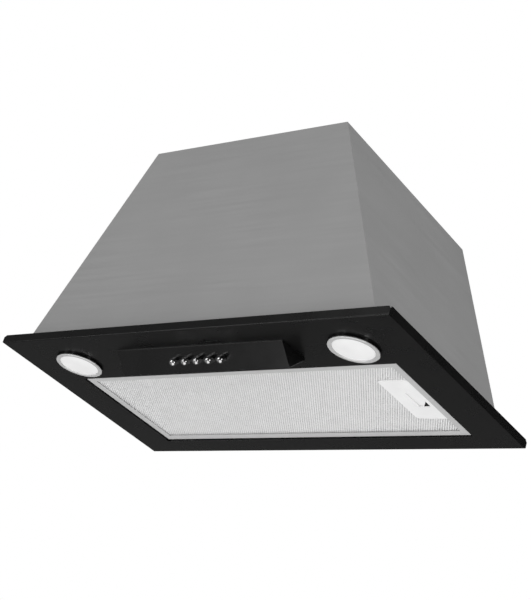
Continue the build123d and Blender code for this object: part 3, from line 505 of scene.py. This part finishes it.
def add_latch_arrow():
    """A dark three-cornered inlay that fills the hollow in the slider's grip."""
    low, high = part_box("latch_slider")
    left = low.x + arrow_start
    rear = (low.y + high.y) / 2 + arrow_rear
    corners = [
        Vector((left, rear, 0)),
        Vector((left + arrow_width, rear, 0)),
        Vector((left + arrow_width, rear - arrow_length, 0)),
    ]
    middle = sum(corners, Vector()) / len(corners)
    levels = (
        (low.z + arrow_recess, arrow_shrink),
        (low.z + arrow_recess + arrow_bevel, 1),
        (low.z + arrow_recess + arrow_thickness, 1),
    )
    vertices = [
        middle + (corner - middle) * size + Vector((0, 0, level))
        for level, size in levels
        for corner in corners
    ]
    faces = [(0, 1, 2), (8, 7, 6)]
    for ring in (0, 3):
        for side in range(3):
            after = (side + 1) % 3
            faces.append((ring + side, ring + 3 + side, ring + 3 + after, ring + after))
    add_piece("latch_arrow", vertices, faces, "black_plastic", "latch")


# ---- Studio ----

floor_z = -2.4
floor_half = 1.7
floor_cells = 8
floor_cloud = 0.6
floor_grain = 0.02
floor_relief = 0.2 * MM
mirrored_left = 0.105
mirrored_dark = 0.012
left_start = 0.3
left_end = -0.3
high_start = -0.53
high_end = -0.43

# Each soft box's place, width, height and brightness.
soft_boxes = {
    "front_strip": ((-0.20, -1.10, -0.05), 0.06, 1.3, 9),
    "right_strip": ((1.45, -0.35, -0.05), 0.17, 1.3, 8),
    "left_box": ((-1.25, -1.45, -0.70), 0.5, 0.6, 3),
    "low_fill": ((-1.25, -0.65, -1.5), 1.3, 1.3, 0.20),
}


def add_floor():
    finish = Finish("studio_floor")
    cloud = finish.noise(floor_cloud, detail=3)
    finish.colour(finish.blend(cloud, grey(0.86), grey(0.90)))
    finish.roughness(finish.spread(cloud, 0.55, 0.7))
    finish.bump(finish.noise(floor_grain), floor_relief)
    mesh = bpy.data.meshes.new("floor")
    steps = [floor_half * (2 * i / floor_cells - 1) for i in range(floor_cells + 1)]
    vertices = [(x, y, floor_z) for y in steps for x in steps]
    across = floor_cells + 1
    faces = [
        (start, start + 1, start + across + 1, start + across)
        for row in range(floor_cells)
        for start in range(row * across, row * across + floor_cells)
    ]
    mesh.from_pydata(vertices, [], faces)
    mesh.materials.append(finish.material)
    floor = bpy.data.objects.new("floor", mesh)
    bpy.context.scene.collection.objects.link(floor)


def add_room():
    """A white room that lights the hood evenly, but mirrors as a dim one, darkest right and low.

    left_start to left_end and high_start to high_end are directions' X and Z.
    """
    world = bpy.data.worlds.new("studio")
    bpy.context.scene.world = world
    world.use_nodes = True
    tree = world.node_tree

    def ramp(source, start, end):
        made = tree.nodes.new("ShaderNodeMapRange")
        made.interpolation_type = "SMOOTHSTEP"
        tree.links.new(source, made.inputs["Value"])
        made.inputs["From Min"].default_value = start
        made.inputs["From Max"].default_value = end
        return made.outputs["Result"]

    def maths(operation, *sources):
        made = tree.nodes.new("ShaderNodeMath")
        made.operation = operation
        for socket, source in zip(made.inputs, sources):
            if isinstance(source, bpy.types.NodeSocket):
                tree.links.new(source, socket)
            else:
                socket.default_value = source
        return made.outputs["Value"]

    ways = tree.nodes.new("ShaderNodeSeparateXYZ")
    place = tree.nodes.new("ShaderNodeTexCoord")
    tree.links.new(place.outputs["Generated"], ways.inputs["Vector"])
    leftness = ramp(ways.outputs["X"], left_start, left_end)
    highness = ramp(ways.outputs["Z"], high_start, high_end)
    lit = maths("MULTIPLY", leftness, highness)
    mirrored = maths("MULTIPLY_ADD", lit, mirrored_left, mirrored_dark)
    path = tree.nodes.new("ShaderNodeLightPath")
    is_mirrored = path.outputs["Is Glossy Ray"]
    strength = maths("MULTIPLY_ADD", is_mirrored, maths("SUBTRACT", mirrored, 1.0), 1.0)
    background = tree.nodes["Background"]
    background.inputs["Color"].default_value = (1, 1, 1, 1)
    tree.links.new(strength, background.inputs["Strength"])


def add_soft_box(name, place, width, height, brightness):
    """A soft light of even brightness at place, turned to face the hood."""
    light = bpy.data.lights.new(name, "AREA")
    light.shape = "RECTANGLE"
    light.size = width
    light.size_y = height
    light.energy = brightness * math.pi * width * height
    lamp = bpy.data.objects.new(name, light)
    bpy.context.scene.collection.objects.link(lamp)
    lamp.location = place
    lamp.rotation_mode = "QUATERNION"
    lamp.rotation_quaternion = (-Vector(place)).to_track_quat("-Z", "Y")
    lamp.visible_camera = False


def add_studio():
    bpy.context.scene.view_settings.view_transform = "Standard"
    add_floor()
    add_room()
    for name, (place, width, height, brightness) in soft_boxes.items():
        add_soft_box(name, place, width, height, brightness)


add_camera()
finish_cad_nodes()
add_filter_meshes()
add_latch_arrow()
add_studio()
